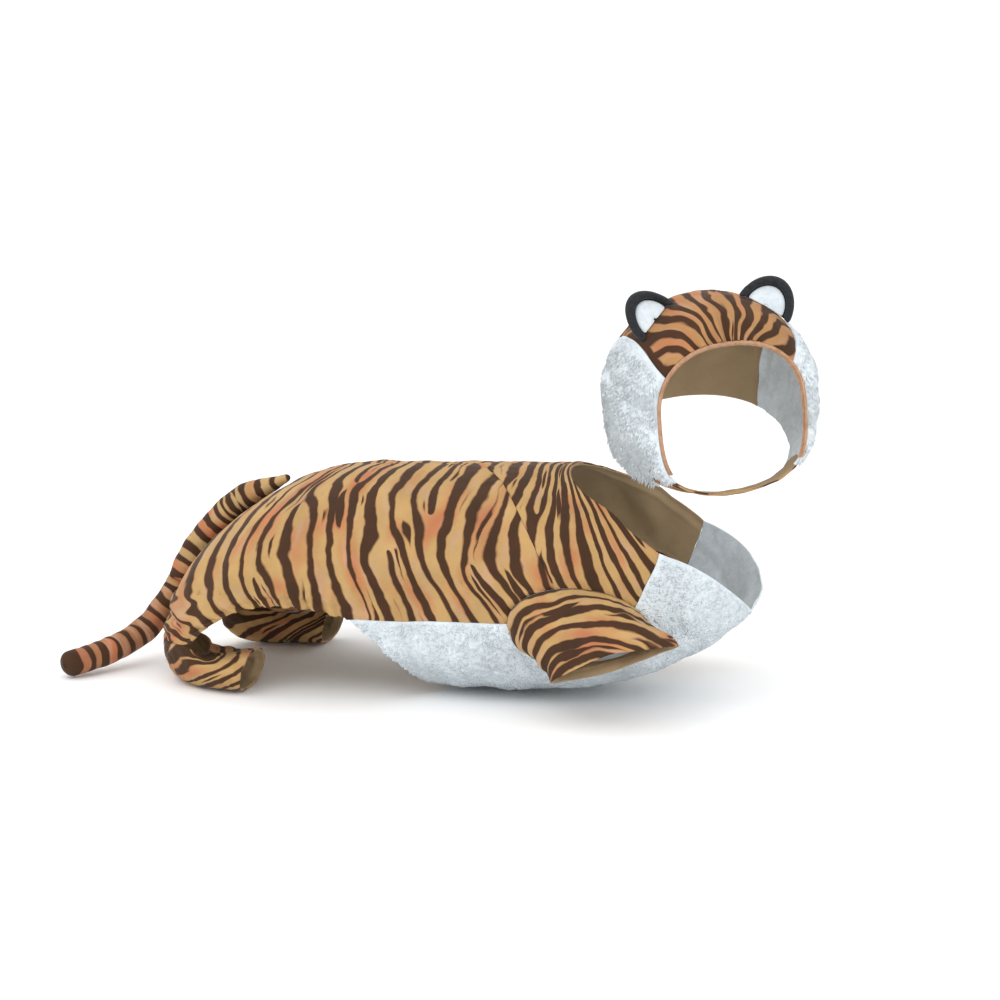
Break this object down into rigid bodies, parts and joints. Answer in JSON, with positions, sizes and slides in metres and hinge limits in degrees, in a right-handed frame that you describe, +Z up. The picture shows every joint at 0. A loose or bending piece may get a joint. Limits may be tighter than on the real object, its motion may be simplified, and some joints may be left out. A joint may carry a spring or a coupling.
{
  "type": "dog tiger costume",
  "caption": "Soft body suit with short sleeves, hind leg cuffs, striped plush back and stuffed tail, and a hood with round ears, held in the form in which a lying dog wears them.",
  "frame": {"origin": "inside of the back's cloth, on the middle of the spine, where the wearer's back holds the suit up", "axes": "+X to the wearer's front, +Y to the wearer's left, +Z up"},
  "size_m": [0.7938, 0.3444, 0.4395],
  "materials": {
    "tiger_plush": "yellow-tan short pile plush printed with dark brown tiger stripes",
    "white_plush": "cool white long pile plush",
    "black_plush": "near black short pile plush",
    "tan_binding": "tan brushed knit binding"
  },
  "bodies": {
    "root": {"back_right": "tiger_plush", "shoulder_right": "tiger_plush", "sleeve_right": "tiger_plush", "hind_leg_right": "tiger_plush", "back_left": "tiger_plush", "shoulder_left": "tiger_plush", "sleeve_left": "tiger_plush", "hind_leg_left": "tiger_plush", "chest_panel": "white_plush", "belly_panel": "white_plush", "tail": "tiger_plush", "hood_side_right": "white_plush", "ear_right": "black_plush", "ear_front_right": "white_plush", "hood_side_left": "white_plush", "ear_left": "black_plush", "ear_front_left": "white_plush", "hood_crown": "tiger_plush", "chin_strap": "tiger_plush", "face_binding": "tan_binding"}
  },
  "joints": []
}
